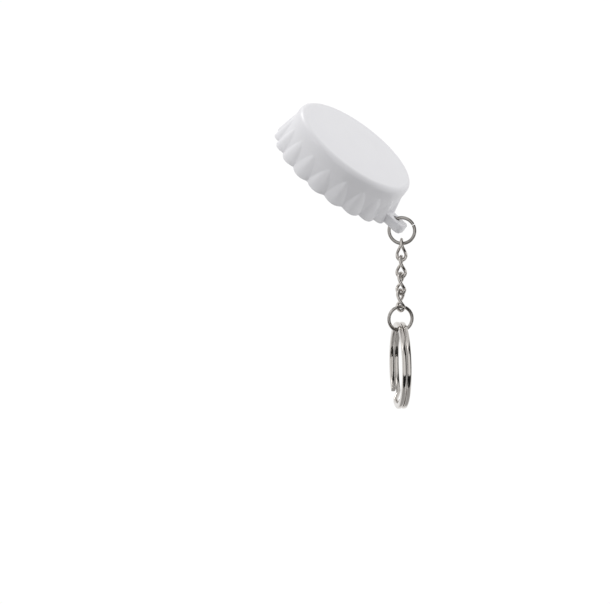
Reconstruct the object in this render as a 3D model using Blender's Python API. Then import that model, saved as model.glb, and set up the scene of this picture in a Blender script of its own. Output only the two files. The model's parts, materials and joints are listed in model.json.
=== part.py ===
"""Keychain bottle opener in the shape of a crown cap.

A white moulded cap carries a steel prying plate inside its mouth.  A lug on its
skirt holds a jump ring, four twisted chain links, a second jump ring and a split
key ring, which hang straight down.

Units are metres and +Z is up.  The origin is the centre of the cap's open mouth.
The cap leans by CAP_TILT towards +X, as it does when it is hooked on a bottle.
"""

import math

import bmesh
import bpy
from mathutils import Matrix, Vector

MM = 0.001

# Cap shell.  Its own frame has its origin at the mouth, its axis along +Z and the lug along +X.
CAP_TILT = math.radians(38.8)
CAP_HEIGHT = 11.5 * MM
TOP_RADIUS = 19.3 * MM
TOP_FILLET = 1.6 * MM
SKIRT_RADIUS = 19.8 * MM
TOP_THICKNESS = 1.8 * MM
MOUTH_RADIUS = 18.2 * MM
RIM_ROUNDING = 0.4 * MM
CEILING_FILLET = 0.8 * MM

# How far a boss or ledge reaches into the top, and a cutter past the faces that it cuts.
ROOT_OVERLAP = 0.6 * MM
CUT_OVERRUN = 1.0 * MM

# Flutes: rounded tongues that rise out of the lower skirt below pointed arches.
FLUTE_COUNT = 20
FLUTE_DEPTH = 1.15 * MM
FLUTE_START = 7.4 * MM
FLUTE_ARCH = 5.8 * MM
FLUTE_SPREADING = 0.6
FLUTE_SWELLING = 0.8
FLUTE_SCALLOP = 0.45 * MM
SCALLOP_REACH = 1.6 * MM
STEPS_PER_FLUTE = 6
FLUTE_ROWS = 7

# Lug for the jump ring, with rounded corners and a hole along the cap's axis.
LUG_WIDTH = 4.9 * MM
LUG_THICKNESS = 2.7 * MM
LUG_BOTTOM = 0.7 * MM
LUG_ROOT = 18.7 * MM
LUG_END = 26.0 * MM
LUG_CORNER = 1.5 * MM
LUG_EDGE = 0.3 * MM
LUG_HOLE_RADIUS = 1.0 * MM
LUG_HOLE_CENTRE = 22.38 * MM

# Steel plate across the lug's side of the mouth, and what holds it.
PLATE_RADIUS = 17.8 * MM
PLATE_THICKNESS = 1.5 * MM
PLATE_BOTTOM = 1.7 * MM
PLATE_EDGE = 6.5 * MM
BITE_RADIUS = 14.0 * MM
BITE_DEPTH = 2.0 * MM
LIP_HEIGHT = 0.5 * MM
LIP_WIDTH = 1.2 * MM
LIP_HALF_ANGLE = math.radians(24.0)
LIP_INSET = 0.02 * MM
SEAT_INNER_RADIUS = 16.4 * MM
SEAT_HALF_ANGLE = math.radians(58.0)
BOSS_RADIUS = 2.4 * MM
SCREW_X = 12.8 * MM
SCREW_Y = 8.6 * MM

# Pan-head screws.
SCREW_HEAD_RADIUS = 2.3 * MM
SCREW_HEAD_HEIGHT = 1.1 * MM
SCREW_HEAD_DOME = 0.4 * MM
SCREW_SHANK_RADIUS = 1.1 * MM
SCREW_LENGTH = 6.0 * MM
SCREW_POINT = 0.8 * MM
RECESS_LENGTH = 2.4 * MM
RECESS_WIDTH = 0.5 * MM
RECESS_DEPTH = 0.6 * MM
PILOT_RADIUS = 1.3 * MM
PLATE_HOLE_RADIUS = 1.4 * MM

# Jump rings, chain and split ring.
RING_WIRE = 1.0 * MM
LINK_WIRE = 0.95 * MM
LUG_RING_DIAMETER = 8.4 * MM
END_RING_DIAMETER = 8.0 * MM
RING_SLIT = 0.2 * MM
LUG_RING_SLIT_ANGLE = math.radians(28.0)
END_RING_SLIT_ANGLE = math.radians(165.0)
LINK_PITCH = 4.86 * MM
LINK_WIDTH = 3.45 * MM
LINK_UPPER_FLAT = 1.0 * MM
LINK_LOWER_FLAT = 1.5 * MM
LINK_SIDE_STEP = 0.08 * MM
SPLIT_DIAMETER = 25.0 * MM
SPLIT_WIRE_WIDTH = 1.27 * MM
SPLIT_WIRE_DEPTH = 1.7 * MM
SPLIT_CORNER = 0.45 * MM
SPLIT_LAYER_GAP = 0.12 * MM
SPLIT_CROSSING = math.radians(24.0)
SPLIT_END_GAP = math.radians(1.0)
SPLIT_CROSSING_PLACE = math.radians(31.0)

# Directions of the hanging pieces about +Z, counted from +X.
FRONT = math.radians(-66.1)
SIDE = FRONT + math.radians(90.0)
LUG_RING_TURN = SIDE - math.radians(10.0)
LINK_TURNS = [math.radians(angle) for angle in (0.0, -15.0, -30.0, -44.0)]
END_RING_TURN = SIDE + math.radians(18.0)
SPLIT_RING_TURN = FRONT + math.radians(8.0)

# Clearances between pieces that touch on the real object.
REST_GAP = 0.2 * MM
WIRE_GAP = 0.2 * MM
SPLIT_HANG_GAP = 0.35 * MM

LUG_RING_RADIUS = (LUG_RING_DIAMETER - RING_WIRE) / 2
END_RING_RADIUS = (END_RING_DIAMETER - RING_WIRE) / 2
LINK_SPAN = LINK_PITCH + WIRE_GAP + LINK_WIRE
LINK_ON_LINK = LINK_WIRE + WIRE_GAP
LINK_ON_RING = (LINK_WIRE + RING_WIRE) / 2 + WIRE_GAP
SPLIT_RADIUS = (SPLIT_DIAMETER - SPLIT_WIRE_DEPTH) / 2
SPLIT_LAYER_PITCH = SPLIT_WIRE_WIDTH + SPLIT_LAYER_GAP

# Centre of the lug's jump ring in the cap's own frame.
LUG_RING_CENTRE = Vector((25.75 * MM, 0.5 * MM, 1.5 * MM))


# ---------------------------------------------------------------- helpers

def clear_scene():
    for item in list(bpy.data.objects):
        bpy.data.objects.remove(item, do_unlink=True)


def make_material(name, color, roughness, metallic):
    material = bpy.data.materials.new(name)
    material.use_nodes = True
    shader = material.node_tree.nodes["Principled BSDF"]
    shader.inputs["Base Color"].default_value = (*color, 1.0)
    shader.inputs["Roughness"].default_value = roughness
    shader.inputs["Metallic"].default_value = metallic
    return material


def add_object(name, data, material=None, parent=None, location=(0.0, 0.0, 0.0)):
    item = bpy.data.objects.new(name, data)
    bpy.context.scene.collection.objects.link(item)
    item.parent = parent
    item.location = location
    if material is not None:
        data.materials.append(material)
    return item


def add_empty(name, parent=None, location=(0.0, 0.0, 0.0), rotation=(0.0, 0.0, 0.0)):
    empty = add_object(name, None, parent=parent, location=location)
    empty.rotation_euler = rotation
    empty.empty_display_size = 5 * MM
    return empty


def mesh_from(bm, name, sharp_angle=math.radians(35.0)):
    bmesh.ops.remove_doubles(bm, verts=bm.verts, dist=1e-7)
    bmesh.ops.recalc_face_normals(bm, faces=bm.faces)
    mesh = bpy.data.meshes.new(name)
    bm.to_mesh(mesh)
    bm.free()
    mesh.shade_smooth()
    mesh.set_sharp_from_angle(angle=sharp_angle)
    return mesh


def turn_profile(profile, steps):
    """Spins a profile of (radius, height) points once round +Z."""
    bm = bmesh.new()
    verts = [bm.verts.new((radius, 0.0, height)) for radius, height in profile]
    edges = [bm.edges.new(pair) for pair in zip(verts, verts[1:])]
    bmesh.ops.spin(bm, geom=verts + edges, cent=(0, 0, 0), axis=(0, 0, 1), dvec=(0, 0, 0),
                   angle=math.tau, steps=steps, use_merge=True, use_duplicate=False)
    return bm


def turn_block(inner, outer, bottom, top, half_angle, steps):
    """A closed sector of a ring with a rectangular section, centred on +X."""
    bm = bmesh.new()
    corners = [(inner, bottom), (outer, bottom), (outer, top), (inner, top)]
    turn = Matrix.Rotation(-half_angle, 3, "Z")
    section = bm.faces.new([bm.verts.new(turn @ Vector((x, 0.0, z))) for x, z in corners])
    swept = bmesh.ops.duplicate(bm, geom=[section])["geom"]
    bmesh.ops.spin(bm, geom=swept, cent=(0, 0, 0), axis=(0, 0, 1), dvec=(0, 0, 0),
                   angle=2 * half_angle, steps=steps, use_merge=False, use_duplicate=False)
    return bm


def extrude_outline(outline, bottom, top):
    """A closed plate from a list of (x, y) points."""
    bm = bmesh.new()
    face = bm.faces.new([bm.verts.new((x, y, bottom)) for x, y in outline])
    grown = bmesh.ops.extrude_face_region(bm, geom=[face])["geom"]
    upper = [part for part in grown if isinstance(part, bmesh.types.BMVert)]
    bmesh.ops.translate(bm, verts=upper, vec=(0.0, 0.0, top - bottom))
    return bm


def cylinder(radius, bottom, top, sides, place=(0.0, 0.0)):
    bm = bmesh.new()
    centre = Matrix.Translation((place[0], place[1], (bottom + top) / 2))
    bmesh.ops.create_cone(bm, cap_ends=True, cap_tris=False, segments=sides,
                          radius1=radius, radius2=radius, depth=top - bottom, matrix=centre)
    return bm


def arc(centre, radius, start, end, steps):
    """Points along a circular arc in a plane."""
    points = []
    for step in range(steps + 1):
        angle = start + (end - start) * step / steps
        points.append((centre[0] + radius * math.cos(angle), centre[1] + radius * math.sin(angle)))
    return points


def boolean(target, tool, operation):
    """Adds an exact Boolean with a hidden tool object."""
    tool.hide_render = True
    tool.display_type = "WIRE"
    modifier = target.modifiers.new(tool.name, "BOOLEAN")
    modifier.operation = operation
    modifier.solver = "EXACT"
    modifier.object = tool


def wire_curve(name, points, thickness, closed):
    """A round wire along a list of points."""
    curve = bpy.data.curves.new(name, "CURVE")
    curve.dimensions = "3D"
    curve.bevel_depth = thickness / 2
    curve.bevel_resolution = 2
    curve.use_fill_caps = not closed
    spline = curve.splines.new("POLY")
    spline.points.add(len(points) - 1)
    for slot, point in zip(spline.points, points):
        slot.co = (*point, 1.0)
    spline.use_cyclic_u = closed
    return curve


# ---------------------------------------------------------------- cap

def flute_shape(angle, height):
    """How far a tongue stands out at an angle and a height, from 0 to 1."""
    if height >= FLUTE_START:
        return 0.0
    pitch = math.tau / FLUTE_COUNT
    from_crest = (angle % pitch) - pitch / 2
    grown = min(1.0, (FLUTE_START - height) / FLUTE_ARCH)
    half_width = pitch / 2 * grown ** FLUTE_SPREADING
    return max(0.0, 1.0 - (from_crest / half_width) ** 2)


def shell_profile():
    """Section of the shell, from the middle of the top round the rim to the ceiling."""
    fillet_centre = (TOP_RADIUS - TOP_FILLET, CAP_HEIGHT - TOP_FILLET)
    profile = [(0.0, CAP_HEIGHT)]
    profile += arc(fillet_centre, TOP_FILLET, math.pi / 2, 0.0, 4)
    for row in range(FLUTE_ROWS + 1):
        below_start = (FLUTE_START - RIM_ROUNDING) * row / FLUTE_ROWS
        flare = (SKIRT_RADIUS - TOP_RADIUS) * below_start / FLUTE_START
        profile.append((TOP_RADIUS + flare, FLUTE_START - below_start))
    profile += arc((SKIRT_RADIUS - RIM_ROUNDING, RIM_ROUNDING), RIM_ROUNDING, 0.0, -math.pi / 2, 2)[1:]
    profile.append((MOUTH_RADIUS + RIM_ROUNDING, 0.0))
    profile.append((MOUTH_RADIUS, RIM_ROUNDING))
    ceiling = CAP_HEIGHT - TOP_THICKNESS
    profile.append((MOUTH_RADIUS, ceiling - CEILING_FILLET))
    profile.append((MOUTH_RADIUS - CEILING_FILLET, ceiling))
    profile.append((0.0, ceiling))
    return profile


def raise_flutes(bm):
    """Pushes the lower skirt outwards into tongues and scallops its lower edge."""
    outside = (MOUTH_RADIUS + SKIRT_RADIUS) / 2
    for vert in bm.verts:
        radius = math.hypot(vert.co.x, vert.co.y)
        if radius < outside or vert.co.z >= FLUTE_START:
            continue
        angle = math.atan2(vert.co.y, vert.co.x)
        shape = flute_shape(angle, vert.co.z)
        depth = FLUTE_DEPTH * ((FLUTE_START - vert.co.z) / FLUTE_START) ** FLUTE_SWELLING
        grown = (radius + depth * shape) / radius
        vert.co.x *= grown
        vert.co.y *= grown
        near_rim = max(0.0, 1.0 - vert.co.z / SCALLOP_REACH)
        vert.co.z += FLUTE_SCALLOP * (1.0 - shape) * near_rim


def lug_mesh():
    """Tab with straight sides, rounded corners at its end and softened edges."""
    half = LUG_WIDTH / 2
    corner_x = LUG_END - LUG_CORNER
    corner_y = half - LUG_CORNER
    outline = [(LUG_ROOT, -half)]
    outline += arc((corner_x, -corner_y), LUG_CORNER, -math.pi / 2, 0.0, 5)
    outline += arc((corner_x, corner_y), LUG_CORNER, 0.0, math.pi / 2, 5)
    outline.append((LUG_ROOT, half))
    bm = extrude_outline(outline, LUG_BOTTOM, LUG_BOTTOM + LUG_THICKNESS)
    rims = [edge for edge in bm.edges
            if abs(edge.verts[0].co.z - edge.verts[1].co.z) < LUG_EDGE
            and max(edge.verts[0].co.x, edge.verts[1].co.x) > LUG_ROOT + LUG_EDGE]
    bmesh.ops.bevel(bm, geom=rims, offset=LUG_EDGE, segments=2, profile=0.5,
                    affect="EDGES", material=-1)
    return mesh_from(bm, "lug")


def build_cap(parent, material):
    bm = turn_profile(shell_profile(), FLUTE_COUNT * STEPS_PER_FLUTE)
    bmesh.ops.remove_doubles(bm, verts=bm.verts, dist=1e-7)
    raise_flutes(bm)
    cap = add_object("cap_body", mesh_from(bm, "cap_body"), material, parent)

    ceiling = CAP_HEIGHT - TOP_THICKNESS
    into_top = ceiling + ROOT_OVERLAP
    plate_top = PLATE_BOTTOM + PLATE_THICKNESS
    seat_bottom = plate_top + REST_GAP
    into_wall = (MOUTH_RADIUS + SKIRT_RADIUS) / 2

    seat = turn_block(SEAT_INNER_RADIUS, into_wall, seat_bottom, into_top, SEAT_HALF_ANGLE, 24)
    boolean(cap, add_object("seat_tool", mesh_from(seat, "seat"), parent=parent), "UNION")
    for side, sign in (("left", -1), ("right", 1)):
        place = (SCREW_X, sign * SCREW_Y)
        boss = cylinder(BOSS_RADIUS, seat_bottom, into_top, 24, place)
        boolean(cap, add_object(f"boss_tool_{side}", mesh_from(boss, "boss"), parent=parent), "UNION")
        pilot_top = PLATE_BOTTOM + SCREW_LENGTH + 2 * REST_GAP
        pilot = cylinder(PILOT_RADIUS, PLATE_BOTTOM, pilot_top, 16, place)
        boolean(cap, add_object(f"pilot_tool_{side}", mesh_from(pilot, "pilot"), parent=parent),
                "DIFFERENCE")

    boolean(cap, add_object("lug_tool", lug_mesh(), parent=parent), "UNION")
    hole = cylinder(LUG_HOLE_RADIUS, LUG_BOTTOM - CUT_OVERRUN, LUG_BOTTOM + LUG_THICKNESS + CUT_OVERRUN, 24,
                    (LUG_HOLE_CENTRE, 0.0))
    boolean(cap, add_object("lug_hole_tool", mesh_from(hole, "lug_hole"), parent=parent),
            "DIFFERENCE")
    return cap


# ---------------------------------------------------------------- plate and screws

def build_plate(parent, material):
    """Half-moon plate with a shallow bite and a raised lip that grips a crown's edge."""
    corner = math.acos(PLATE_EDGE / PLATE_RADIUS)
    outline = arc((0.0, 0.0), PLATE_RADIUS, -corner, corner, 40)
    bite_x = PLATE_EDGE + BITE_DEPTH - BITE_RADIUS
    bite_angle = math.acos((PLATE_EDGE - bite_x) / BITE_RADIUS)
    outline += arc((bite_x, 0.0), BITE_RADIUS, bite_angle, -bite_angle, 16)
    top = PLATE_BOTTOM + PLATE_THICKNESS
    plate_bm = extrude_outline(outline, PLATE_BOTTOM, top)
    plate = add_object("opener_plate", mesh_from(plate_bm, "opener_plate"), material, parent)

    lip = turn_block(BITE_RADIUS, BITE_RADIUS + LIP_WIDTH, PLATE_BOTTOM + PLATE_THICKNESS / 2,
                     top + LIP_HEIGHT, LIP_HALF_ANGLE, 12)
    lip_tool = add_object("lip_tool", mesh_from(lip, "lip"), parent=parent)
    lip_tool.location = (bite_x + LIP_INSET, 0.0, 0.0)
    boolean(plate, lip_tool, "UNION")
    for side, sign in (("left", -1), ("right", 1)):
        hole = cylinder(PLATE_HOLE_RADIUS, PLATE_BOTTOM - CUT_OVERRUN, top + CUT_OVERRUN, 20,
                        (SCREW_X, sign * SCREW_Y))
        tool = add_object(f"plate_hole_tool_{side}", mesh_from(hole, "plate_hole"), parent=parent)
        boolean(plate, tool, "DIFFERENCE")
    return plate


def screw_mesh():
    """Pan-head screw with its bearing face at z = 0 and its head below it."""
    dome_centre = (SCREW_HEAD_RADIUS - SCREW_HEAD_DOME, SCREW_HEAD_DOME - SCREW_HEAD_HEIGHT)
    profile = [(0.0, -SCREW_HEAD_HEIGHT)]
    profile += arc(dome_centre, SCREW_HEAD_DOME, -math.pi / 2, 0.0, 3)
    profile += [(SCREW_HEAD_RADIUS, 0.0),
               (SCREW_SHANK_RADIUS, 0.0),
               (SCREW_SHANK_RADIUS, SCREW_LENGTH - SCREW_POINT),
               (0.0, SCREW_LENGTH)]
    return mesh_from(turn_profile(profile, 20), "screw")


def build_screws(parent, material):
    bearing = PLATE_BOTTOM - REST_GAP
    for side, sign in (("left", -1), ("right", 1)):
        place = (SCREW_X, sign * SCREW_Y, bearing)
        screw = add_object(f"plate_screw_{side}", screw_mesh(), material, parent, place)
        for number, size in enumerate(((RECESS_LENGTH, RECESS_WIDTH), (RECESS_WIDTH, RECESS_LENGTH))):
            bm = bmesh.new()
            middle = Matrix.Translation((0.0, 0.0, -SCREW_HEAD_HEIGHT))
            scale = Matrix.Diagonal((size[0], size[1], 2 * RECESS_DEPTH, 1.0))
            bmesh.ops.create_cube(bm, size=1.0, matrix=middle @ scale)
            tool = add_object(f"recess_tool_{side}_{number}", mesh_from(bm, "recess"),
                              parent=parent, location=place)
            boolean(screw, tool, "DIFFERENCE")


# ---------------------------------------------------------------- rings and chain

def in_plane(turn, across, height):
    """A point in the upright plane that faces along a turn about +Z."""
    return Vector((across * math.cos(turn), across * math.sin(turn), height))


def build_jump_ring(name, centre, radius, turn, slit_angle, origin, material):
    """An open wire ring in an upright plane, with a narrow slit."""
    half_slit = (RING_SLIT / 2) / radius
    steps = 36
    points = []
    for step in range(steps + 1):
        angle = slit_angle + half_slit + (math.tau - 2 * half_slit) * step / steps
        local = in_plane(turn, radius * math.cos(angle), radius * math.sin(angle))
        points.append(centre + local - origin)
    curve = wire_curve(name, points, RING_WIRE, closed=False)
    return add_object(name, curve, material, location=origin)


def link_points(top, turn):
    """Centreline of a twisted link: its upper loop stands across its lower loop."""
    end_radius = (LINK_WIDTH - LINK_WIRE) / 2
    straight = LINK_SPAN - 2 * end_radius
    arc_steps = 8
    leg_steps = 7
    outline = arc((0.0, -end_radius), end_radius, 0.0, math.pi, arc_steps)
    for step in range(1, leg_steps):
        outline.append((-end_radius, -end_radius - straight * step / leg_steps))
    outline += arc((0.0, -end_radius - straight), end_radius, math.pi, math.tau, arc_steps)
    for step in range(1, leg_steps):
        outline.append((end_radius, -end_radius - straight * (1 - step / leg_steps)))
    points = []
    for across, height in outline:
        along = (-height - LINK_UPPER_FLAT) / (LINK_SPAN - LINK_UPPER_FLAT - LINK_LOWER_FLAT)
        along = min(1.0, max(0.0, along))
        eased = along * along * (3 - 2 * along)
        points.append(top + in_plane(FRONT + turn + eased * math.pi / 2, across, height))
    return points


def build_link(name, top, turn, origin, material):
    points = [point - origin for point in link_points(top, turn)]
    curve = wire_curve(name, points, LINK_WIRE, closed=True)
    return add_object(name, curve, material, location=origin)


def split_section():
    """Rounded rectangle of the split ring's wire, as (radius, height) points."""
    half_depth = SPLIT_WIRE_DEPTH / 2 - SPLIT_CORNER
    half_width = SPLIT_WIRE_WIDTH / 2 - SPLIT_CORNER
    section = []
    for quarter, (x, z) in enumerate(((1, 1), (-1, 1), (-1, -1), (1, -1))):
        centre = (SPLIT_RADIUS + x * half_depth, z * half_width)
        start = quarter * math.pi / 2
        section += arc(centre, SPLIT_CORNER, start, start + math.pi / 2, 2)
    return section


def split_ring_mesh():
    """Two turns of flattened wire about +Z, joined by one crossing."""
    lead = SPLIT_CROSSING / 2 + SPLIT_END_GAP
    bm = bmesh.new()
    turn = Matrix.Rotation(lead, 3, "Z")
    drop = Vector((0.0, 0.0, -SPLIT_LAYER_PITCH / 2))
    section = [turn @ Vector((x, 0.0, z)) + drop for x, z in split_section()]
    face = bm.faces.new([bm.verts.new(point) for point in section])
    moving = bmesh.ops.duplicate(bm, geom=[face])["geom"]
    flat_turn = math.tau - lead - SPLIT_CROSSING / 2
    crossing_steps = 8
    stages = [(flat_turn, 36, 0.0)]
    for step in range(crossing_steps):
        before = step / crossing_steps
        after = (step + 1) / crossing_steps
        rise = after * after * (3 - 2 * after) - before * before * (3 - 2 * before)
        stages.append((SPLIT_CROSSING / crossing_steps, 1, rise * SPLIT_LAYER_PITCH))
    stages.append((flat_turn, 36, 0.0))
    for angle, steps, rise in stages:
        moving = bmesh.ops.spin(bm, geom=moving, cent=(0, 0, 0), axis=(0, 0, 1),
                                dvec=(0, 0, rise / steps), angle=angle, steps=steps,
                                use_merge=False, use_duplicate=False)["geom_last"]
    return bm


def build_split_ring(centre, origin, material):
    bm = split_ring_mesh()
    # The crossing starts at +X; it goes to the lower far side, then the ring is stood upright.
    place = Matrix.Rotation(math.radians(-90.0) - SPLIT_CROSSING_PLACE, 4, "Z")
    upright = Matrix.Rotation(math.radians(90.0), 4, "X")
    face_on = Matrix.Rotation(SPLIT_RING_TURN, 4, "Z")
    shift = Matrix.Translation(centre - origin)
    bm.transform(shift @ face_on @ upright @ place)
    return add_object("split_ring", mesh_from(bm, "split_ring"), material, location=origin)


def build_chain(material):
    """Everything that hangs from the lug, each piece straight below the one that holds it."""
    down = Vector((0.0, 0.0, -1.0))
    side_step = in_plane(SIDE, -LINK_SIDE_STEP, 0.0)
    ring_centre = Matrix.Rotation(CAP_TILT, 3, "Y") @ LUG_RING_CENTRE
    build_jump_ring("lug_jump_ring", ring_centre, LUG_RING_RADIUS, LUG_RING_TURN,
                    LUG_RING_SLIT_ANGLE, ring_centre, material)

    holder = ring_centre + down * LUG_RING_RADIUS
    for number, turn in enumerate(LINK_TURNS):
        drop = LINK_ON_RING if number == 0 else LINK_ON_LINK
        top = holder - down * drop + side_step
        # Odd links swing about the wire that holds them, even links about their own top.
        origin = holder if number % 2 == 0 else top
        build_link(f"chain_link_{number + 1}", top, turn, origin, material)
        holder = top + down * LINK_SPAN

    end_top = holder - down * LINK_ON_RING
    end_centre = end_top + down * END_RING_RADIUS
    build_jump_ring("end_jump_ring", end_centre, END_RING_RADIUS, END_RING_TURN,
                    END_RING_SLIT_ANGLE, end_top, material)

    end_bottom = end_centre + down * END_RING_RADIUS
    inner_rest = end_bottom - down * (RING_WIRE / 2 + SPLIT_HANG_GAP)
    split_centre = inner_rest - down * SPLIT_WIRE_DEPTH / 2 + down * SPLIT_RADIUS
    build_split_ring(split_centre, end_bottom, material)


def main():
    clear_scene()
    white_plastic = make_material("white_plastic", (0.80, 0.80, 0.83), 0.28, 0.0)
    steel = make_material("steel_plate", (0.62, 0.62, 0.63), 0.32, 1.0)
    screw_steel = make_material("screw_steel", (0.55, 0.55, 0.57), 0.25, 1.0)
    nickel = make_material("nickel_plate", (0.70, 0.69, 0.67), 0.14, 1.0)
    cap_frame = add_empty("cap_frame", rotation=(0.0, CAP_TILT, 0.0))
    build_cap(cap_frame, white_plastic)
    build_plate(cap_frame, steel)
    build_screws(cap_frame, screw_steel)
    build_chain(nickel)


main()
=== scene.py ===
"""Looks of the crown-cap keychain opener: moulded shell, prying plate, screws, rings and chain.

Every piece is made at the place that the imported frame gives.  Shapes of the cap are made in
the cap's own frame, with its origin at the mouth, its axis along +Z and the lug along +X, and
are then leaned over with the cap.  Lengths are metres and MM turns millimetres into them.
"""

import json
import math

import bmesh
import bpy
from mathutils import Matrix, Vector


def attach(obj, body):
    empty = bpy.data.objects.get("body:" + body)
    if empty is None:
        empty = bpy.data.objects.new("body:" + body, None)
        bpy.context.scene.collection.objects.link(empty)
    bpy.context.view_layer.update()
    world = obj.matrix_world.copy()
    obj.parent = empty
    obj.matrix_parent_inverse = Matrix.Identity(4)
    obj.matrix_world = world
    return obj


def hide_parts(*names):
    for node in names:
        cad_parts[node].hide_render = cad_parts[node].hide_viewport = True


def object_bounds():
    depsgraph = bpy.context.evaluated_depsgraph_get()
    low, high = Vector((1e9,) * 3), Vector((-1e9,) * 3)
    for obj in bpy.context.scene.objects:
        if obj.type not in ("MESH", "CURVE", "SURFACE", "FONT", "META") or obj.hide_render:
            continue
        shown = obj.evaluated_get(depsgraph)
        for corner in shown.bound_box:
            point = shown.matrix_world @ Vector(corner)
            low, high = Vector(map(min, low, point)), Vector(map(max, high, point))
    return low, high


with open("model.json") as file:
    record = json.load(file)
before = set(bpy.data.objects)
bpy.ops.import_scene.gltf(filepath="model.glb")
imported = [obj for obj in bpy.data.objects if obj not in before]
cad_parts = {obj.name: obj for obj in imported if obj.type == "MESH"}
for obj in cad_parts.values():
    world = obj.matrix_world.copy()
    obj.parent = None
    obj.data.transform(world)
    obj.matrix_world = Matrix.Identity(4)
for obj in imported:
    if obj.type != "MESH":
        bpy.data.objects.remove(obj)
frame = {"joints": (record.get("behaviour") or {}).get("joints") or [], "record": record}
cad_low, cad_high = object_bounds()

MM = 0.001
MERGE_DISTANCE = 0.0001 * MM
FULL_TURN = math.tau
QUARTER_TURN = math.pi / 2
DOWN = Vector((0.0, 0.0, -1.0))

# Angles above which an edge counts as sharp.
SHARP_EDGE = math.radians(40.0)
SHARP_CARVED_EDGE = math.radians(32.0)
SHARP_WIRE_END = math.radians(60.0)

# Moulded shell.
CAP_HEIGHT = 11.5 * MM
TOP_RADIUS = 19.3 * MM
TOP_FILLET = 1.6 * MM
SKIRT_RADIUS = 19.8 * MM
MOUTH_RADIUS = 18.2 * MM
RIM_ROUNDING = 0.4 * MM
TOP_THICKNESS = 1.8 * MM
CEILING_FILLET = 0.8 * MM
ROOT_OVERLAP = 0.6 * MM
CUT_OVERRUN = 1.0 * MM

# Flutes: tongues that rise out of the lower skirt below pointed arches.
FLUTE_COUNT = 20
FLUTE_DEPTH = 1.1 * MM
FLUTE_START = 7.4 * MM
FLUTE_ARCH = 5.8 * MM
FLUTE_SOFTNESS = 0.05
FLUTE_SPREADING = 0.6
FLUTE_SWELLING = 0.8
FLUTE_SCALLOP = 0.45 * MM
SCALLOP_REACH = 1.6 * MM
COLUMNS_PER_FLUTE = 24
FLUTE_ROWS = 44
PLAIN_ROWS = 4
SHOULDER_STEPS = 14
RIM_STEPS = 6
CEILING_STEPS = 8

# Lug for the jump ring.
LUG_WIDTH = 4.9 * MM
LUG_THICKNESS = 2.7 * MM
LUG_BOTTOM = 0.7 * MM
LUG_ROOT = 18.7 * MM
LUG_END = 26.0 * MM
LUG_CORNER = 1.5 * MM
LUG_CORNER_STEPS = 16
LUG_EDGE = 0.3 * MM
LUG_EDGE_STEPS = 5
LUG_HOLE_RADIUS = 1.0 * MM
LUG_HOLE_CENTRE = 22.38 * MM

# Prying plate, the ledge and bosses that hold it, and its lip.
PLATE_RADIUS = 17.8 * MM
PLATE_THICKNESS = 1.5 * MM
PLATE_BOTTOM = 1.7 * MM
PLATE_EDGE = 6.5 * MM
PLATE_ROUNDING = 0.16 * MM
BITE_RADIUS = 14.0 * MM
BITE_DEPTH = 2.0 * MM
LIP_HEIGHT = 0.5 * MM
LIP_WIDTH = 1.2 * MM
LIP_HALF_ANGLE = math.radians(24.0)
SEAT_INNER_RADIUS = 16.4 * MM
SEAT_HALF_ANGLE = math.radians(58.0)
SEAT_GAP = 0.2 * MM
BOSS_RADIUS = 2.4 * MM
SCREW_X = 12.8 * MM
SCREW_Y = 8.6 * MM
PLATE_STEPS = 96
PLATE_ROUNDING_STEPS = 3
BITE_STEPS = 48
LIP_STEPS = 32
HOLE_SIDES = 64
SCREW_HOLE_SIDES = 48

# Pan-head screws.
SCREW_HEAD_RADIUS = 2.3 * MM
SCREW_HEAD_HEIGHT = 1.1 * MM
SCREW_HEAD_FLAT = 0.55 * SCREW_HEAD_RADIUS
SCREW_HEAD_DOME = 0.45 * SCREW_HEAD_HEIGHT
SCREW_HEAD_EDGE = 0.1 * MM
SCREW_NECK = MM / 3
SCREW_THREAD_RADIUS = 1.1 * MM
SCREW_CORE_RADIUS = 0.84 * MM
SCREW_PITCH = 0.8 * MM
SCREW_LENGTH = 6.0 * MM
SCREW_POINT = 1.2 * MM
RECESS_LENGTH = 2.4 * MM
RECESS_WIDTH = 0.5 * MM
RECESS_DEPTH = 0.6 * MM
RECESS_TAPER = 0.7
THREAD_SHARPNESS = 3.0
THREAD_RUN_OUT = 0.05 * MM
THREAD_ROWS = 56
SCREW_DOME_STEPS = 10
SCREW_SIDES = 64
PILOT_RADIUS = 1.3 * MM
PLATE_HOLE_RADIUS = 1.4 * MM

# Jump rings, chain links and split ring.
RING_WIRE = 1.0 * MM
LUG_RING_RADIUS = 3.7 * MM
LUG_RING_SLIT_ANGLE = math.radians(28.0)
LUG_RING_SLIT = 0.2 * MM
END_RING_RADIUS = 3.5 * MM
END_RING_SLIT_ANGLE = math.radians(165.0)
END_RING_SLIT = 0.05 * MM
WIRE_END_ROUNDING = 0.07 * MM
WIRE_END_STEPS = 3
WIRE_SIDES = 32
RING_STEPS = 160
LINK_WIRE = 0.95 * MM
LINK_PITCH = 4.86 * MM
LINK_WIDTH = 3.45 * MM
LINK_UPPER_FLAT = 1.0 * MM
LINK_LOWER_FLAT = 1.5 * MM
LINK_SIDE_STEP = 0.08 * MM
LINK_TWIST_DELAY = 1.6
LINK_SEAM_RADIUS = 0.9
LINK_BEND_STEPS = 32
LINK_LEG_STEPS = 24
LINK_SEAM_POINT = LINK_BEND_STEPS + 10
LINK_WIRE_ROUNDNESS = 6
WIRE_GAP = 0.2 * MM
LINK_SPAN = LINK_PITCH + WIRE_GAP + LINK_WIRE
SPLIT_RADIUS = 11.65 * MM
SPLIT_WIRE_WIDTH = 1.27 * MM
SPLIT_WIRE_DEPTH = 1.7 * MM
SPLIT_CORNER = 0.45 * MM
SPLIT_LAYER_PITCH = 1.39 * MM
SPLIT_CROSSING = math.radians(24.0)
SPLIT_END_GAP = math.radians(1.0)
SPLIT_END_ROUNDING = 2 * WIRE_END_ROUNDING
SPLIT_END_STEPS = 4
SPLIT_CROSSING_PLACE = math.radians(31.0)
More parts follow.
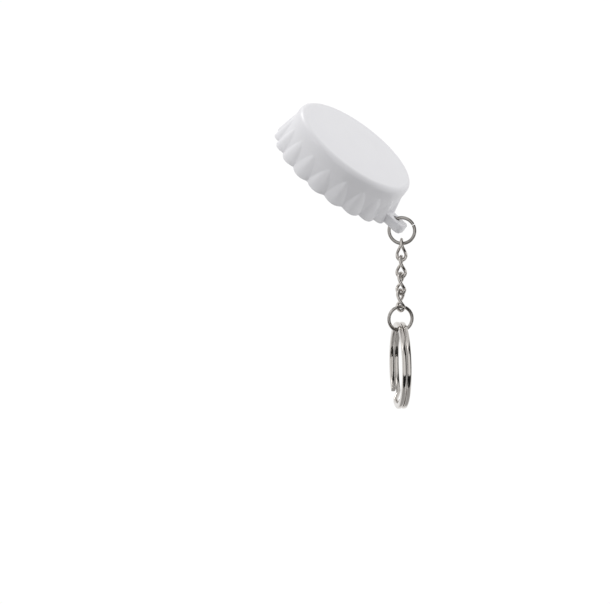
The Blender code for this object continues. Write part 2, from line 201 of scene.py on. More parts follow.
SPLIT_HANG_GAP = 0.35 * MM
SPLIT_CORNER_STEPS = 7
SPLIT_TURN_STEPS = 150
SPLIT_CROSSING_STEPS = 24

# How pale the nickel of each piece is, from 0 to 1; the jump rings' low tone is painted shade.
JUMP_RING_PAINTED_SHADE_TONE = 0.62
LINK_TONE = 0.92
SPLIT_RING_TONE = 0.94

# Directions of the hanging pieces about +Z, counted from +X.
FRONT = math.radians(-66.1)
SIDE = FRONT + QUARTER_TURN
LUG_RING_TURN = SIDE - math.radians(10.0)
LINK_TURNS = [math.radians(angle) for angle in (0.0, -15.0, -30.0, -44.0)]
END_RING_TURN = SIDE + math.radians(18.0)
SPLIT_RING_TURN = FRONT + math.radians(8.0)

# Camera and studio.
CAMERA_AZIMUTH = math.radians(23.9)
CAMERA_ELEVATION = math.radians(8.0)
CAMERA_DISTANCE = 1.4
CAMERA_LENS = 289.0
CAMERA_REACH = 20.0
AIM_LEFT_OF_TOP = 14.84 * MM
AIM_BELOW_TOP = 44.8 * MM
SWEEP_FLOOR = -1.2
SWEEP_RADIUS = 3.0
SWEEP_BEND = 1.0
SWEEP_TOP = 2.2
SWEEP_BEND_STEPS = 12
SWEEP_SIDES = 96
SWEEP_GLOW = 1.02
SKY_GLOW = 0.82

JOINT_PLACES = {joint["name"]: Vector(joint["pos_m"]) for joint in frame["joints"]}
MOUNTS = {mount["name"]: mount for mount in frame["record"]["mounts"]}
TOP_CENTRE = Vector(MOUNTS["print_face"]["pos_m"])
CAP_AXIS = Vector(MOUNTS["print_face"]["axis"]).normalized()
CAP_LEAN_ANGLE = math.atan2(CAP_AXIS.x, CAP_AXIS.z)
CAP_LEAN = Matrix.Rotation(CAP_LEAN_ANGLE, 4, "Y")
OPENER_MIDDLE = (cad_low + cad_high) / 2


# ---------------------------------------------------------------- mesh helpers

def piece_from(bm, name):
    """Turns a finished bmesh into an object at the origin, smooth but for its sharp edges."""
    bmesh.ops.remove_doubles(bm, verts=bm.verts, dist=MERGE_DISTANCE)
    bmesh.ops.recalc_face_normals(bm, faces=bm.faces)
    mesh = bpy.data.meshes.new(name)
    bm.to_mesh(mesh)
    bm.free()
    mesh.shade_smooth()
    mesh.set_sharp_from_angle(angle=SHARP_EDGE)
    piece = bpy.data.objects.new(name, mesh)
    bpy.context.scene.collection.objects.link(piece)
    return piece


def arc(centre, radius, start, end, steps):
    """Points along a circular arc in a plane."""
    angles = [start + (end - start) * step / steps for step in range(steps + 1)]
    return [(centre[0] + radius * math.cos(a), centre[1] + radius * math.sin(a)) for a in angles]


def spread(start, end, steps):
    """Evenly spaced values after start, up to and including end."""
    return [start + (end - start) * step / steps for step in range(1, steps + 1)]


def eased(part):
    """A rise from 0 to 1 that starts and ends level."""
    return part * part * (3 - 2 * part)


def turned(profile, steps):
    """Spins a profile of (radius, height) points once round +Z."""
    bm = bmesh.new()
    verts = [bm.verts.new((radius, 0.0, height)) for radius, height in profile]
    edges = [bm.edges.new(pair) for pair in zip(verts, verts[1:])]
    bmesh.ops.spin(bm, geom=verts + edges, cent=(0, 0, 0), axis=(0, 0, 1), dvec=(0, 0, 0),
                   angle=FULL_TURN, steps=steps, use_merge=True, use_duplicate=False)
    bmesh.ops.remove_doubles(bm, verts=bm.verts, dist=MERGE_DISTANCE)
    return bm


def swept_face(bm, face, stages):
    """Carries a face round +Z in (angle, steps, rise) stages and closes both ends with it."""
    moving = bmesh.ops.duplicate(bm, geom=[face])["geom"]
    for angle, steps, rise in stages:
        moving = bmesh.ops.spin(bm, geom=moving, cent=(0, 0, 0), axis=(0, 0, 1),
                                dvec=(0, 0, rise / steps), angle=angle, steps=steps,
                                use_merge=False, use_duplicate=False)["geom_last"]
    bmesh.ops.remove_doubles(bm, verts=bm.verts, dist=MERGE_DISTANCE)


def slab(outline, bottom, top):
    """A closed plate from a list of (x, y) points."""
    bm = bmesh.new()
    face = bm.faces.new([bm.verts.new((x, y, bottom)) for x, y in outline])
    grown = bmesh.ops.extrude_face_region(bm, geom=[face])["geom"]
    upper = [part for part in grown if isinstance(part, bmesh.types.BMVert)]
    bmesh.ops.translate(bm, verts=upper, vec=(0.0, 0.0, top - bottom))
    bmesh.ops.recalc_face_normals(bm, faces=bm.faces)
    return bm


def round_edges(bm, width, segments, angle=SHARP_EDGE, kept=None):
    """Bevels the edges sharper than an angle, but for those whose middle kept() names."""
    sharp = [edge for edge in bm.edges if edge.is_manifold and edge.calc_face_angle() > angle]
    if kept is not None:
        sharp = [edge for edge in sharp if not kept((edge.verts[0].co + edge.verts[1].co) / 2)]
    bmesh.ops.bevel(bm, geom=sharp, offset=width, segments=segments, profile=0.5,
                    affect="EDGES", material=-1)


def rod(radius, bottom, top, sides, place):
    """An upright cylinder."""
    bm = bmesh.new()
    centre = Matrix.Translation((place[0], place[1], (bottom + top) / 2))
    bmesh.ops.create_cone(bm, cap_ends=True, cap_tris=False, segments=sides,
                          radius1=radius, radius2=radius, depth=top - bottom, matrix=centre)
    return bm


def carve(piece, operation, tools):
    """Joins tools to a piece, or cuts them out of it, and leaves a plain mesh."""
    group = bpy.data.collections.new("carving_tools")
    bpy.context.scene.collection.children.link(group)
    for tool in tools:
        bpy.context.scene.collection.objects.unlink(tool)
        group.objects.link(tool)
    modifier = piece.modifiers.new("carving", "BOOLEAN")
    modifier.operation = operation
    modifier.solver = "EXACT"
    modifier.operand_type = "COLLECTION"
    modifier.collection = group
    bpy.context.view_layer.update()
    evaluated = piece.evaluated_get(bpy.context.evaluated_depsgraph_get())
    carved = bpy.data.meshes.new_from_object(evaluated)
    piece.modifiers.clear()
    piece.data = carved
    for tool in tools:
        bpy.data.objects.remove(tool, do_unlink=True)
    bpy.data.collections.remove(group)


def settle(piece, place, name):
    """Moves a mesh to its place in the frame and marks its sharp edges."""
    piece.data.transform(place)
    piece.data.name = name
    piece.data.shade_smooth()
    piece.data.set_sharp_from_angle(angle=SHARP_CARVED_EDGE)


# ---------------------------------------------------------------- moulded shell

def flute_shape(angle, height):
    """How far a tongue stands out at an angle and a height, from 0 to 1, with soft creases."""
    if height >= FLUTE_START:
        return 0.0
    pitch = FULL_TURN / FLUTE_COUNT
    from_crest = (angle % pitch) - pitch / 2
    grown = min(1.0, (FLUTE_START - height) / FLUTE_ARCH)
    half_width = pitch / 2 * grown ** FLUTE_SPREADING
    bulge = max(0.0, 1.0 - (from_crest / half_width) ** 2)
    return bulge * bulge * (1.0 + FLUTE_SOFTNESS) / (bulge + FLUTE_SOFTNESS)


def shell_profile():
    """Section of the shell, from the middle of the top round the rim to the ceiling."""
    shoulder = CAP_HEIGHT - TOP_FILLET
    ceiling = CAP_HEIGHT - TOP_THICKNESS
    profile = [(0.0, CAP_HEIGHT), (TOP_RADIUS / 2, CAP_HEIGHT)]
    profile += arc((TOP_RADIUS - TOP_FILLET, shoulder), TOP_FILLET,
                   QUARTER_TURN, 0.0, SHOULDER_STEPS)
    profile += [(TOP_RADIUS, height) for height in spread(shoulder, FLUTE_START, PLAIN_ROWS)]
    for height in spread(FLUTE_START, RIM_ROUNDING, FLUTE_ROWS):
        flare = (SKIRT_RADIUS - TOP_RADIUS) * (FLUTE_START - height) / FLUTE_START
        profile.append((TOP_RADIUS + flare, height))
    profile += arc((SKIRT_RADIUS - RIM_ROUNDING, RIM_ROUNDING), RIM_ROUNDING,
                   0.0, -QUARTER_TURN, RIM_STEPS)[1:]
    profile += arc((MOUTH_RADIUS + RIM_ROUNDING, RIM_ROUNDING), RIM_ROUNDING,
                   -QUARTER_TURN, -math.pi, RIM_STEPS)
    profile += arc((MOUTH_RADIUS - CEILING_FILLET, ceiling - CEILING_FILLET), CEILING_FILLET,
                   0.0, QUARTER_TURN, CEILING_STEPS)
    profile.append((0.0, ceiling))
    return profile


def raise_flutes(bm):
    """Pushes the lower skirt outwards into tongues and scallops its lower edge."""
    outside = (MOUTH_RADIUS + SKIRT_RADIUS) / 2
    for vert in bm.verts:
        radius = math.hypot(vert.co.x, vert.co.y)
        if radius < outside or vert.co.z >= FLUTE_START:
            continue
        shape = flute_shape(math.atan2(vert.co.y, vert.co.x), vert.co.z)
        depth = FLUTE_DEPTH * ((FLUTE_START - vert.co.z) / FLUTE_START) ** FLUTE_SWELLING
        grown = (radius + depth * shape) / radius
        vert.co.x *= grown
        vert.co.y *= grown
        near_rim = max(0.0, 1.0 - vert.co.z / SCALLOP_REACH)
        vert.co.z += FLUTE_SCALLOP * (1.0 - shape) * near_rim


def lug_tab():
    """Tab with straight sides, rounded corners at its end and rounded edges."""
    half = LUG_WIDTH / 2
    corner_x = LUG_END - LUG_CORNER
    corner_y = half - LUG_CORNER
    outline = [(LUG_ROOT, -half)]
    outline += arc((corner_x, -corner_y), LUG_CORNER, -QUARTER_TURN, 0.0, LUG_CORNER_STEPS)
    outline += arc((corner_x, corner_y), LUG_CORNER, 0.0, QUARTER_TURN, LUG_CORNER_STEPS)
    outline.append((LUG_ROOT, half))
    bm = slab(outline, LUG_BOTTOM, LUG_BOTTOM + LUG_THICKNESS)
    round_edges(bm, LUG_EDGE, LUG_EDGE_STEPS, kept=lambda middle: middle.x < LUG_ROOT + LUG_EDGE)
    return piece_from(bm, "lug_tool")


def ledge_block(inner, outer, bottom, top, half_angle, steps, name):
    """A closed sector of a ring, centred on +X."""
    bm = bmesh.new()
    turn = Matrix.Rotation(-half_angle, 3, "Z")
    corners = [(inner, bottom), (outer, bottom), (outer, top), (inner, top)]
    section = bm.faces.new([bm.verts.new(turn @ Vector((x, 0.0, z))) for x, z in corners])
    swept_face(bm, section, [(2 * half_angle, steps, 0.0)])
    return piece_from(bm, name)


def both_screws():
    """Side name and place of each screw."""
    return (("left", (SCREW_X, -SCREW_Y)), ("right", (SCREW_X, SCREW_Y)))


def build_shell():
    """Cap with its lug, the ledge and bosses inside it, and the holes for ring and screws."""
    bm = turned(shell_profile(), FLUTE_COUNT * COLUMNS_PER_FLUTE)
    raise_flutes(bm)
    shell = piece_from(bm, "moulded_shell")
    ceiling = CAP_HEIGHT - TOP_THICKNESS
    into_top = ceiling + ROOT_OVERLAP
    into_wall = (MOUTH_RADIUS + SKIRT_RADIUS) / 2
    seat_bottom = PLATE_BOTTOM + PLATE_THICKNESS + SEAT_GAP
    added = [lug_tab(), ledge_block(SEAT_INNER_RADIUS, into_wall, seat_bottom, into_top,
                                    SEAT_HALF_ANGLE, PLATE_STEPS, "ledge_tool")]
    pilot_top = PLATE_BOTTOM + SCREW_LENGTH + 2 * SEAT_GAP
    hole = rod(LUG_HOLE_RADIUS, LUG_BOTTOM - CUT_OVERRUN,
               LUG_BOTTOM + LUG_THICKNESS + CUT_OVERRUN, HOLE_SIDES, (LUG_HOLE_CENTRE, 0.0))
    cut = [piece_from(hole, "lug_hole_tool")]
    for side, place in both_screws():
        boss = rod(BOSS_RADIUS, seat_bottom, into_top, HOLE_SIDES, place)
        added.append(piece_from(boss, f"boss_tool_{side}"))
        pilot = rod(PILOT_RADIUS, PLATE_BOTTOM, pilot_top, SCREW_HOLE_SIDES, place)
        cut.append(piece_from(pilot, f"pilot_tool_{side}"))
    carve(shell, "UNION", added)
    carve(shell, "DIFFERENCE", cut)
    settle(shell, CAP_LEAN, "moulded_shell")
    return shell


# ---------------------------------------------------------------- plate and screws

def build_plate():
    """Half-moon plate with a shallow bite and a raised lip that grips a crown's edge."""
    corner = math.acos(PLATE_EDGE / PLATE_RADIUS)
    outline = arc((0.0, 0.0), PLATE_RADIUS, -corner, corner, PLATE_STEPS)
    bite_x = PLATE_EDGE + BITE_DEPTH - BITE_RADIUS
    bite_angle = math.acos((PLATE_EDGE - bite_x) / BITE_RADIUS)
    outline += arc((bite_x, 0.0), BITE_RADIUS, bite_angle, -bite_angle, BITE_STEPS)
    top = PLATE_BOTTOM + PLATE_THICKNESS
    bm = slab(outline, PLATE_BOTTOM, top)
    round_edges(bm, PLATE_ROUNDING, PLATE_ROUNDING_STEPS)
    plate = piece_from(bm, "prying_plate")
    lip = ledge_block(BITE_RADIUS + PLATE_ROUNDING, BITE_RADIUS + LIP_WIDTH,
                      PLATE_BOTTOM + PLATE_THICKNESS / 2, top + LIP_HEIGHT,
                      LIP_HALF_ANGLE, LIP_STEPS, "lip_tool")
    lip.data.transform(Matrix.Translation((bite_x, 0.0, 0.0)))
    holes = [piece_from(rod(PLATE_HOLE_RADIUS, PLATE_BOTTOM - CUT_OVERRUN, top + CUT_OVERRUN,
                            SCREW_HOLE_SIDES, place),
                        f"plate_hole_tool_{side}") for side, place in both_screws()]
    carve(plate, "UNION", [lip])
    carve(plate, "DIFFERENCE", holes)
    settle(plate, CAP_LEAN, "prying_plate")
    return plate


def thread_radius(angle, height):
    """Radius of the screw's thread, whose ridge climbs one pitch for each turn."""
    phase = (height / SCREW_PITCH - angle / FULL_TURN) % 1.0
    ridge = max(0.0, 1.0 - THREAD_SHARPNESS * abs(phase - 0.5))
    return SCREW_CORE_RADIUS + (SCREW_THREAD_RADIUS - SCREW_CORE_RADIUS) * ridge


def build_screw(side, place):
    """Pan-head screw with a cross recess and a helical thread, head towards the mouth."""
    profile = [(0.0, -SCREW_HEAD_HEIGHT), (SCREW_HEAD_FLAT, -SCREW_HEAD_HEIGHT)]
    dome_centre = (SCREW_HEAD_RADIUS - SCREW_HEAD_DOME, SCREW_HEAD_DOME - SCREW_HEAD_HEIGHT)
    profile += arc(dome_centre, SCREW_HEAD_DOME, -QUARTER_TURN, 0.0, SCREW_DOME_STEPS)
    profile += [(SCREW_HEAD_RADIUS, -SCREW_HEAD_EDGE), (SCREW_HEAD_RADIUS - SCREW_HEAD_EDGE, 0.0)]
    profile += [(SCREW_CORE_RADIUS, 0.0), (SCREW_CORE_RADIUS, SCREW_NECK)]
    shank_end = SCREW_LENGTH - SCREW_POINT
    profile += [(SCREW_CORE_RADIUS, height)
                for height in spread(SCREW_NECK, shank_end, THREAD_ROWS)]
    profile.append((0.0, SCREW_LENGTH))
    bm = turned(profile, SCREW_SIDES)
    for vert in bm.verts:
        if SCREW_NECK < vert.co.z < shank_end - THREAD_RUN_OUT:
            radius = thread_radius(math.atan2(vert.co.y, vert.co.x), vert.co.z)
            grown = radius / math.hypot(vert.co.x, vert.co.y)
            vert.co.x *= grown
            vert.co.y *= grown
    screw = piece_from(bm, f"pan_screw_{side}")
    slots = []
    for length, width in ((RECESS_LENGTH, RECESS_WIDTH), (RECESS_WIDTH, RECESS_LENGTH)):
        slot = bmesh.new()
        size = Matrix.Diagonal((length, width, 2 * RECESS_DEPTH, 1.0))
        head_face = Matrix.Translation((0.0, 0.0, -SCREW_HEAD_HEIGHT))
        bmesh.ops.create_cube(slot, size=1.0, matrix=head_face @ size)
        for vert in slot.verts:
            if vert.co.z > -SCREW_HEAD_HEIGHT:
                vert.co.x *= RECESS_TAPER
                vert.co.y *= RECESS_TAPER
        slots.append(piece_from(slot, "recess_tool"))
    carve(screw, "DIFFERENCE", slots)
    seat = Matrix.Translation((place[0], place[1], PLATE_BOTTOM - SEAT_GAP))
    settle(screw, CAP_LEAN @ seat, f"pan_screw_{side}")
    return screw


# ---------------------------------------------------------------- rings and chain

def in_plane(turn, across, height):
    """A point in the upright plane that faces along a turn about +Z."""
    return Vector((across * math.cos(turn), across * math.sin(turn), height))


def stand_upright(turn, centre):
    """Stands a ring that lies about +Z on its edge, facing along a turn, at a centre."""
    upright = Matrix.Rotation(QUARTER_TURN, 4, "X")
    return Matrix.Translation(centre) @ Matrix.Rotation(turn, 4, "Z") @ upright


def build_jump_ring(name, centre, radius, turn, slit_angle, slit):
    """Round wire bent into a ring, with its two cut ends facing over a narrow slit."""
    half_slit = slit / 2 / radius
    start = Matrix.Rotation(slit_angle + half_slit, 4, "Z")
    upright = Matrix.Rotation(QUARTER_TURN, 4, "X")
    bm = bmesh.new()
    section_place = start @ Matrix.Translation((radius, 0.0, 0.0)) @ upright
    bmesh.ops.create_circle(bm, cap_ends=True, cap_tris=False, segments=WIRE_SIDES,
                            radius=RING_WIRE / 2, matrix=section_place)
    section = next(iter(bm.faces))
    swept_face(bm, section, [(FULL_TURN - 2 * half_slit, RING_STEPS, 0.0)])
    bmesh.ops.recalc_face_normals(bm, faces=bm.faces)
    round_edges(bm, WIRE_END_ROUNDING, WIRE_END_STEPS, SHARP_WIRE_END)
    bm.transform(stand_upright(turn, centre))
    return piece_from(bm, name)


def link_outline():
    """Stadium outline of a link before it is twisted, as (across, height) points."""
    end_radius = (LINK_WIDTH - LINK_WIRE) / 2
    straight = LINK_SPAN - 2 * end_radius
    lower = -end_radius - straight
    outline = arc((0.0, -end_radius), end_radius, 0.0, math.pi, LINK_BEND_STEPS)
    outline += [(-end_radius, height) for height in spread(-end_radius, lower, LINK_LEG_STEPS)[:-1]]
    outline += arc((0.0, lower), end_radius, math.pi, FULL_TURN, LINK_BEND_STEPS)
    outline += [(end_radius, height) for height in spread(lower, -end_radius, LINK_LEG_STEPS)[:-1]]
    return outline


def build_link(name, top, turn):
    """Wire link twisted a quarter turn between its loops, with its butt seam on one leg."""
    curve = bpy.data.curves.new(name, "CURVE")
    curve.dimensions = "3D"
    curve.bevel_depth = LINK_WIRE / 2
    curve.bevel_resolution = LINK_WIRE_ROUNDNESS
    spline = curve.splines.new("POLY")
    outline = link_outline()
    spline.points.add(len(outline) - 1)
    for number, (across, height) in enumerate(outline):
        along = (-height - LINK_UPPER_FLAT) / (LINK_SPAN - LINK_UPPER_FLAT - LINK_LOWER_FLAT)
        along = min(1.0, max(0.0, along))
        twisted = QUARTER_TURN * along ** LINK_TWIST_DELAY
        point = top + in_plane(FRONT + turn + twisted, across, height)
        spline.points[number].co = (*point, 1.0)
    spline.points[LINK_SEAM_POINT].radius = LINK_SEAM_RADIUS
    spline.use_cyclic_u = True
    link = bpy.data.objects.new(name, curve)
    bpy.context.scene.collection.objects.link(link)
    return link


def split_section():
    """Rounded rectangle of the split ring's wire, as (radius, height) points."""
    half_depth = SPLIT_WIRE_DEPTH / 2 - SPLIT_CORNER
    half_width = SPLIT_WIRE_WIDTH / 2 - SPLIT_CORNER
    section = []
    for quarter, (x, z) in enumerate(((1, 1), (-1, 1), (-1, -1), (1, -1))):
        centre = (SPLIT_RADIUS + x * half_depth, z * half_width)
        section += arc(centre, SPLIT_CORNER, quarter * QUARTER_TURN, (quarter + 1) * QUARTER_TURN,
                       SPLIT_CORNER_STEPS)
    return section


def build_split_ring(centre):
    """Two turns of flattened wire side by side, joined by one crossing, with rounded ends."""
    lead = SPLIT_CROSSING / 2 + SPLIT_END_GAP
    turn = Matrix.Rotation(lead, 3, "Z")
    drop = Vector((0.0, 0.0, -SPLIT_LAYER_PITCH / 2))
    bm = bmesh.new()
    section = [turn @ Vector((x, 0.0, z)) + drop for x, z in split_section()]
    face = bm.faces.new([bm.verts.new(point) for point in section])
    flat_turn = FULL_TURN - lead - SPLIT_CROSSING / 2
    stages = [(flat_turn, SPLIT_TURN_STEPS, 0.0)]
    for step in range(SPLIT_CROSSING_STEPS):
        before = step / SPLIT_CROSSING_STEPS
        after = (step + 1) / SPLIT_CROSSING_STEPS
        rise = eased(after) - eased(before)
        stages.append((SPLIT_CROSSING / SPLIT_CROSSING_STEPS, 1, rise * SPLIT_LAYER_PITCH))
    stages.append((flat_turn, SPLIT_TURN_STEPS, 0.0))
    swept_face(bm, face, stages)
    bmesh.ops.recalc_face_normals(bm, faces=bm.faces)
    round_edges(bm, SPLIT_END_ROUNDING, SPLIT_END_STEPS, SHARP_WIRE_END)
    # The crossing is centred on +X, and is turned from there to the lower far side.
    crossing = Matrix.Rotation(-QUARTER_TURN - SPLIT_CROSSING_PLACE, 4, "Z")
    bm.transform(stand_upright(SPLIT_RING_TURN, centre) @ crossing)
    return piece_from(bm, "split_ring_coil")


# ---------------------------------------------------------------- materials

class Value:
    """One output of a material's node; arithmetic on it adds Math nodes."""

    def __init__(self, finish, socket):
        self.finish = finish
        self.socket = socket

    def maths(self, operation, first, second):
        return self.finish.node("ShaderNodeMath", {"operation": operation}, {0: first, 1: second})

    def __add__(self, other):
        return self.maths("ADD", self, other)

    def __radd__(self, other):
        return self.maths("ADD", other, self)

    def __mul__(self, other):
        return self.maths("MULTIPLY", self, other)

    def __rmul__(self, other):
        return self.maths("MULTIPLY", other, self)


class Finish:
    """A material, the nodes it is made of and the constants on its shader."""

    def __init__(self, name, constants):
        self.material = bpy.data.materials.new(name)
        self.material.use_nodes = True
        self.tree = self.material.node_tree
        self.shader = self.tree.nodes["Principled BSDF"]
        for socket, value in constants.items():
            self.shader.inputs[socket].default_value = value

    def node(self, kind, settings=None, sockets=None, output=0):
        """Adds a node: its settings first, then its sockets' values or links."""
        made = self.tree.nodes.new(kind)
        for name, value in (settings or {}).items():
            setattr(made, name, value)
        for key, value in (sockets or {}).items():
            self.join(made.inputs[key], value)
        return Value(self, made.outputs[output])

    def join(self, socket, value):
        if isinstance(value, Value):
            self.tree.links.new(value.socket, socket)
        else:
            socket.default_value = value

    def feed(self, socket, value):
        self.join(self.shader.inputs[socket], value)

    def place(self, turn=(0.0, 0.0, 0.0), stretch=(1.0, 1.0, 1.0)):
        """Object coordinates, turned and stretched."""
        coordinates = self.node("ShaderNodeTexCoord", output="Object")
        return self.node("ShaderNodeMapping", {"vector_type": "POINT"},
                         {"Vector": coordinates, "Rotation": turn, "Scale": stretch})

    def noise(self, place, size, detail=2.0, roughness=0.5):
        """Noise with features of about a size in metres."""
        return self.node("ShaderNodeTexNoise", {"noise_dimensions": "3D"},
                         {"Vector": place, "Scale": 1.0 / size, "Detail": detail,
                          "Roughness": roughness}, output="Fac")

    def between(self, factor, first, second):
        """Mixes two colours."""
        return self.node("ShaderNodeMix", {"data_type": "RGBA"},
                         {"Factor": factor, 6: (*first, 1.0), 7: (*second, 1.0)}, output=2)

    def relief(self, height, depth):
        """A bump of a depth in metres from a height between 0 and 1."""
        return self.node("ShaderNodeBump", {},
                         {"Strength": 1.0, "Distance": depth, "Height": height})


def white_moulded_plastic():
    """Glossy white ABS: faint flow marks in the colour, a fine mould texture in the surface."""
    finish = Finish("white_moulded_plastic", {"IOR": 1.5, "Specular IOR Level": 0.5})
    place = finish.place()
    flow = finish.noise(place, 9.0 * MM, 3.0)
    grain = finish.noise(place, 0.22 * MM, 2.0)
    finish.feed("Base Color", finish.between(flow, (0.770, 0.768, 0.790), (0.745, 0.742, 0.768)))
    finish.feed("Roughness", 0.27 + 0.06 * flow + 0.08 * grain)
    finish.feed("Normal", finish.relief(0.75 * flow + 0.25 * grain, 0.012 * MM))
    return finish.material


def bright_nickel(name, tone):
    """Nickel plating in a tone: mirror bright, with slight waves and polishing marks."""
    finish = Finish(name, {"Metallic": 1.0})
    # The tone scales the whole colour down; the jump rings' low tone is painted shade.
    pale = [tone * part for part in (0.66, 0.63, 0.60)]
    deep = [tone * part for part in (0.58, 0.55, 0.52)]
    place = finish.place()
    waves = finish.noise(place, 1.6 * MM, 2.0)
    marks = finish.noise(place, 0.12 * MM, 3.0)
    tint = finish.noise(place, 3.5 * MM, 2.0)
    finish.feed("Base Color", finish.between(tint, pale, deep))
    finish.feed("Roughness", 0.06 + 0.06 * marks + 0.04 * tint)
    finish.feed("Normal", finish.relief(0.9 * waves + 0.1 * marks, 0.009 * MM))
    return finish.material


def brushed_plate_steel():
    """Pressed steel with straight brushing across the plate."""
    finish = Finish("brushed_plate_steel", {"Metallic": 1.0})
    across_plate = finish.place(turn=(0.0, -CAP_LEAN_ANGLE, 0.0), stretch=(1.0, 0.03, 1.0))
    strokes = finish.noise(across_plate, 0.10 * MM, 3.0)
    patches = finish.noise(finish.place(), 4.0 * MM, 3.0)
    finish.feed("Base Color", finish.between(patches, (0.66, 0.66, 0.67), (0.55, 0.55, 0.56)))
    finish.feed("Roughness", 0.24 + 0.16 * strokes + 0.06 * patches)
    finish.feed("Normal", finish.relief(strokes, 0.010 * MM))
    return finish.material


def zinc_plated_steel():
    """Zinc plating on the screws, slightly blue and slightly mottled."""
    finish = Finish("zinc_plated_steel", {"Metallic": 1.0})
    place = finish.place()
    mottle = finish.noise(place, 0.8 * MM, 4.0)
    grain = finish.noise(place, 0.08 * MM, 2.0)
    finish.feed("Base Color", finish.between(mottle, (0.64, 0.66, 0.70), (0.52, 0.53, 0.56)))
    finish.feed("Roughness", 0.22 + 0.12 * mottle + 0.08 * grain)
    finish.feed("Normal", finish.relief(grain, 0.006 * MM))
    return finish.material


def glowing_white(name, strength):
    """Even white light for the sweep."""
    finish = Finish(name, {"Base Color": (0.0, 0.0, 0.0, 1.0), "Specular IOR Level": 0.0,
                           "Emission Color": (1.0, 1.0, 1.0, 1.0), "Emission Strength": strength})
    return finish.material


def card_paint(name, shade):
    """Matt paint of a shading card."""
    finish = Finish(name, {"Base Color": (shade, shade, shade, 1.0), "Roughness": 1.0,
                           "Specular IOR Level": 0.0})
    return finish.material


# ---------------------------------------------------------------- studio and camera

def direction(azimuth, elevation):
    """Unit vector from the opener towards an azimuth and elevation, as the camera's are counted."""
    return Vector((math.sin(azimuth) * math.cos(elevation),
                   -math.cos(azimuth) * math.cos(elevation),
                   math.sin(elevation)))


def build_sweep():
    """Pale floor that bends up into a wall all the way round."""
    profile = [(0.0, SWEEP_FLOOR)]
    profile += arc((SWEEP_RADIUS - SWEEP_BEND, SWEEP_FLOOR + SWEEP_BEND), SWEEP_BEND,
                   -QUARTER_TURN, 0.0, SWEEP_BEND_STEPS)
    profile.append((SWEEP_RADIUS, SWEEP_TOP))
    sweep = piece_from(turned(profile, SWEEP_SIDES), "studio_sweep")
    sweep.data.flip_normals()
    sweep.data.materials.append(glowing_white("sweep_white", SWEEP_GLOW))


def build_card(name, azimuth, elevation, distance, width, height, shade, mirrored, shading):
    """A card that is mirrored in the metal, shades the plastic or both, unseen by the camera."""
    towards = direction(math.radians(azimuth), math.radians(elevation))
    bm = bmesh.new()
    facing = towards.to_track_quat("Z", "Y").to_matrix().to_4x4()
    place = Matrix.Translation(OPENER_MIDDLE + towards * distance) @ facing
    size = Matrix.Diagonal((width, height, 1.0, 1.0))
    bmesh.ops.create_grid(bm, x_segments=1, y_segments=1, size=0.5, matrix=place @ size)
    card = piece_from(bm, name)
    card.data.materials.append(card_paint(f"{name}_paint", shade))
    card.visible_camera = False
    card.visible_glossy = mirrored
    card.visible_diffuse = shading


def build_lamp(name, azimuth, elevation, distance, size, power):
    """A square soft light aimed at the opener."""
    towards = direction(math.radians(azimuth), math.radians(elevation))
    light = bpy.data.lights.new(name, "AREA")
    light.shape = "SQUARE"
    light.size = size
    light.energy = power
    lamp = bpy.data.objects.new(name, light)
    lamp.location = OPENER_MIDDLE + towards * distance
    lamp.rotation_euler = towards.to_track_quat("Z", "Y").to_euler()
    lamp.visible_camera = False
    bpy.context.scene.collection.objects.link(lamp)


def build_camera():
    """Long lens a little above level, aimed so that the chain hangs right of the middle."""
    back = direction(CAMERA_AZIMUTH, CAMERA_ELEVATION)
    right = Vector((math.cos(CAMERA_AZIMUTH), math.sin(CAMERA_AZIMUTH), 0.0))
    up = back.cross(right)
    aim = TOP_CENTRE - AIM_LEFT_OF_TOP * right - AIM_BELOW_TOP * up
    lens = bpy.data.cameras.new("studio_camera")
    lens.lens = CAMERA_LENS
    lens.clip_end = CAMERA_REACH
    camera = bpy.data.objects.new("studio_camera", lens)
    camera.location = aim + CAMERA_DISTANCE * back
    camera.rotation_euler = back.to_track_quat("Z", "Y").to_euler()
    bpy.context.scene.collection.objects.link(camera)
    bpy.context.scene.camera = camera


def build_studio():
    """Sweep, sky and lamps, with cards that the metal mirrors or that shade the plastic."""
    world = bpy.data.worlds.new("studio_air")
    world.use_nodes = True
    sky = world.node_tree.nodes["Background"]
    sky.inputs["Color"].default_value = (1.0, 1.0, 1.0, 1.0)
    sky.inputs["Strength"].default_value = SKY_GLOW
    bpy.context.scene.world = world
    bpy.context.scene.view_settings.view_transform = "Standard"
    build_sweep()
    camera_side = math.degrees(CAMERA_AZIMUTH)
    build_card("low_mirror_card", azimuth=camera_side, elevation=-38.0, distance=0.7,
               width=2.6, height=0.42, shade=0.02, mirrored=True, shading=False)
    build_card("right_mirror_card", azimuth=camera_side + 62.0, elevation=22.0, distance=0.8,
               width=1.0, height=1.3, shade=0.02, mirrored=True, shading=False)
    build_card("left_mirror_card", azimuth=camera_side - 32.0, elevation=10.0, distance=0.8,
               width=0.16, height=1.0, shade=0.03, mirrored=True, shading=False)
    build_card("front_shade_card", azimuth=camera_side - 12.0, elevation=-18.0, distance=0.7,
               width=1.0, height=0.9, shade=0.2, mirrored=False, shading=True)
    build_card("under_card", azimuth=camera_side, elevation=-90.0, distance=0.6,
               width=0.9, height=0.9, shade=0.5, mirrored=True, shading=True)
    build_lamp("key_lamp", azimuth=camera_side - 62.0, elevation=42.0, distance=1.0,
               size=0.35, power=0.9)
    build_lamp("back_lamp", azimuth=camera_side - 160.0, elevation=52.0, distance=1.0,
               size=0.3, power=1.8)


# ---------------------------------------------------------------- assembly

def fit(piece, body, node, finish):
    """Gives a piece its finish and puts it in the place of its CAD node."""
    piece.data.materials.clear()
    piece.data.materials.append(finish)
    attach(piece, body)
    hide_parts(node)


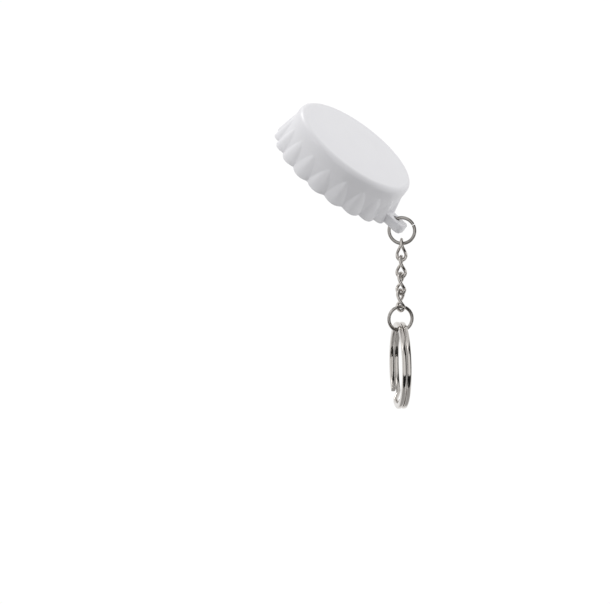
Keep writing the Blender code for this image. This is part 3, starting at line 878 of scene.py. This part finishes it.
def build_opener():
    """The cap and what is screwed into it."""
    fit(build_shell(), "opener", "cap_body", white_moulded_plastic())
    fit(build_plate(), "opener", "opener_plate", brushed_plate_steel())
    zinc = zinc_plated_steel()
    for side, place in both_screws():
        fit(build_screw(side, place), "opener", f"plate_screw_{side}", zinc)


def build_chain():
    """Everything that hangs from the lug, each piece straight below the one that holds it."""
    # The jump rings get a darker copy of the nickel: painted shade for the dark surroundings their
    # wire mirrors.
    ring_nickel_painted_shade = bright_nickel("ring_nickel_painted_shade", JUMP_RING_PAINTED_SHADE_TONE)
    link_nickel = bright_nickel("link_nickel", LINK_TONE)
    coil_nickel = bright_nickel("coil_nickel", SPLIT_RING_TONE)
    lug_ring_centre = JOINT_PLACES["lug_ring_turn"]
    ring = build_jump_ring("lug_ring_wire", lug_ring_centre, LUG_RING_RADIUS, LUG_RING_TURN,
                           LUG_RING_SLIT_ANGLE, LUG_RING_SLIT)
    fit(ring, "lug_ring", "lug_jump_ring", ring_nickel_painted_shade)

    on_ring = (LINK_WIRE + RING_WIRE) / 2 + WIRE_GAP
    on_link = LINK_WIRE + WIRE_GAP
    holder = lug_ring_centre + DOWN * LUG_RING_RADIUS
    for number, turn in enumerate(LINK_TURNS, start=1):
        overlap = on_ring if number == 1 else on_link
        top = holder - DOWN * overlap - in_plane(SIDE, LINK_SIDE_STEP, 0.0)
        link = build_link(f"link_wire_{number}", top, turn)
        fit(link, f"link_{number}", f"chain_link_{number}", link_nickel)
        holder = top + DOWN * LINK_SPAN

    end_centre = JOINT_PLACES["end_ring_swing"] + DOWN * END_RING_RADIUS
    ring = build_jump_ring("end_ring_wire", end_centre, END_RING_RADIUS, END_RING_TURN,
                           END_RING_SLIT_ANGLE, END_RING_SLIT)
    fit(ring, "end_ring", "end_jump_ring", ring_nickel_painted_shade)

    inner_rest = JOINT_PLACES["split_ring_swing"] - DOWN * (RING_WIRE / 2 + SPLIT_HANG_GAP)
    split_centre = inner_rest + DOWN * (SPLIT_RADIUS - SPLIT_WIRE_DEPTH / 2)
    fit(build_split_ring(split_centre), "split_ring", "split_ring", coil_nickel)


build_opener()
build_chain()
build_studio()
build_camera()

bpy.context.view_layer.update()
